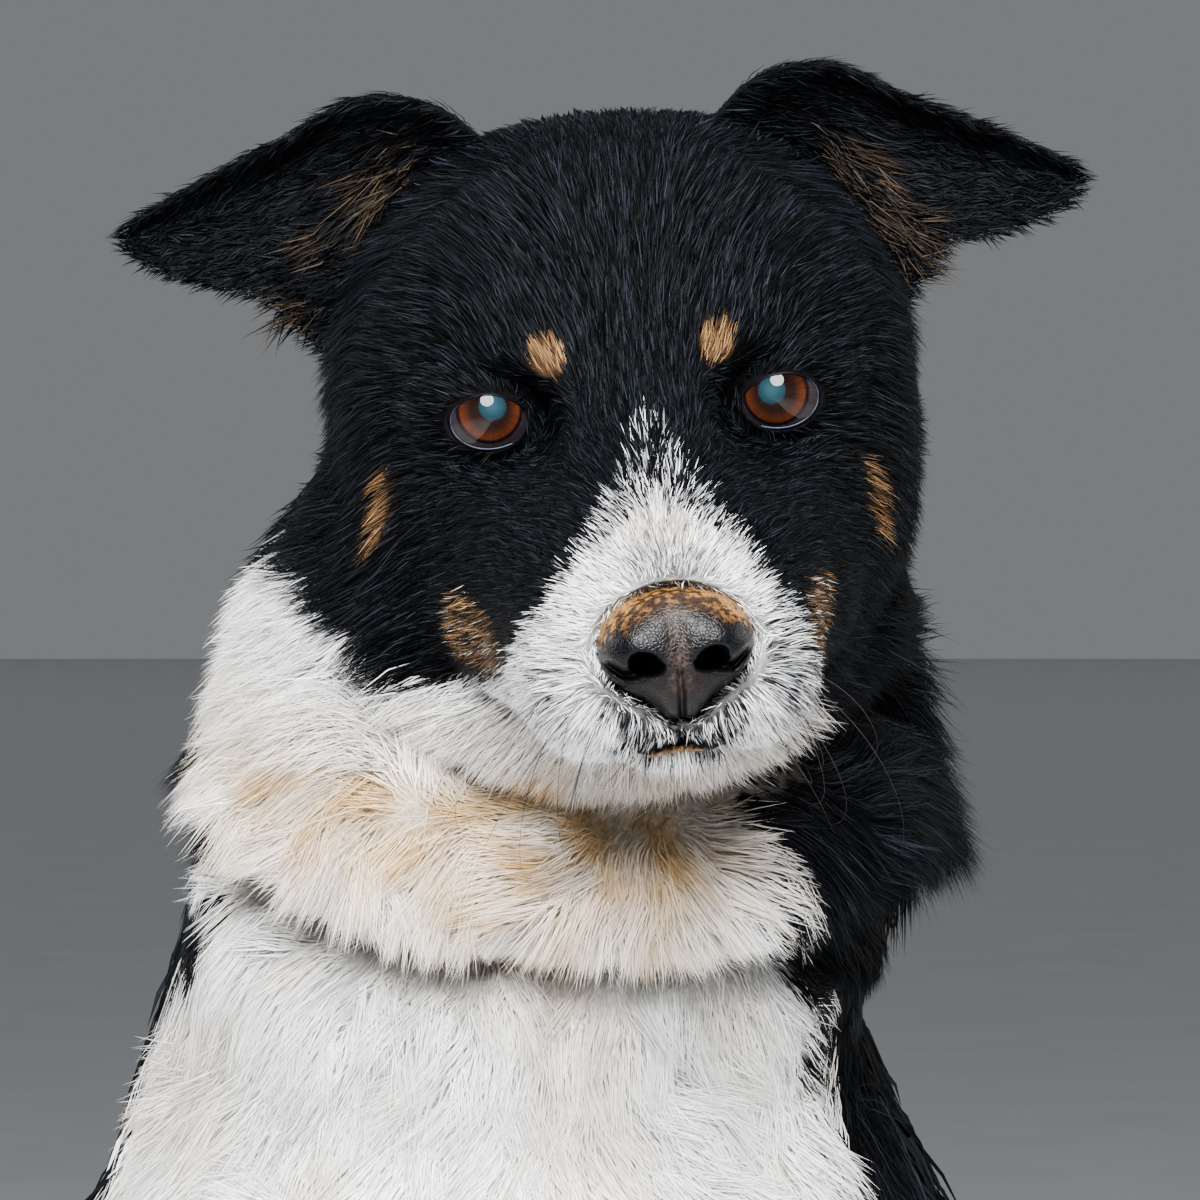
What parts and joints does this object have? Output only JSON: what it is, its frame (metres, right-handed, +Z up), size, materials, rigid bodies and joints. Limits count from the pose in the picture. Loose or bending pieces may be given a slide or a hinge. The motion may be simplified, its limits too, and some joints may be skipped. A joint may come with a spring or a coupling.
{
  "type": "dog",
  "caption": "Still life-size model of a sitting black, white and tan shepherd and mountain-dog cross with folded-out ears, a white ruff and a bushy tail.",
  "frame": {"origin": "on the floor, under the middle of the sitting dog's box", "axes": "+Z up, the dog faces -Y, its left side is +X"},
  "size_m": [0.404, 0.8204, 0.8049],
  "materials": {
    "black_coat": "soft glossy black guard hair",
    "white_coat": "soft off-white hair, peppered grey on the muzzle",
    "tan_coat": "soft rust-tan hair",
    "nose_leather": "moist pebbled black skin",
    "eye": "wet, mirror-smooth, reddish-brown iris",
    "claw_horn": "dark horn, dull gloss"
  },
  "bodies": {
    "root": {"barrel": "black_coat", "chest": "white_coat", "ear_left": "black_coat", "ear_right": "black_coat", "eye_left": "eye", "eye_right": "eye", "fore_left_claw_1": "claw_horn", "fore_left_claw_2": "claw_horn", "fore_left_claw_3": "claw_horn", "fore_left_claw_4": "claw_horn", "fore_right_claw_1": "claw_horn", "fore_right_claw_2": "claw_horn", "fore_right_claw_3": "claw_horn", "fore_right_claw_4": "claw_horn", "foreleg_left": "white_coat", "foreleg_right": "white_coat", "forepaw_left": "white_coat", "forepaw_right": "white_coat", "head": "black_coat", "hind_foot_left": "tan_coat", "hind_foot_right": "tan_coat", "hind_left_claw_1": "claw_horn", "hind_left_claw_2": "claw_horn", "hind_left_claw_3": "claw_horn", "hind_left_claw_4": "claw_horn", "hind_paw_left": "white_coat", "hind_paw_right": "white_coat", "hind_right_claw_1": "claw_horn", "hind_right_claw_2": "claw_horn", "hind_right_claw_3": "claw_horn", "hind_right_claw_4": "claw_horn", "lower_jaw": "white_coat", "muzzle": "white_coat", "neck": "white_coat", "nose": "nose_leather", "rump": "black_coat", "shank_left": "tan_coat", "shank_right": "tan_coat", "shoulder_left": "black_coat", "shoulder_right": "black_coat", "tail_middle": "black_coat", "tail_root": "black_coat", "tail_tip": "white_coat", "thigh_left": "black_coat", "thigh_right": "black_coat"}
  },
  "joints": []
}
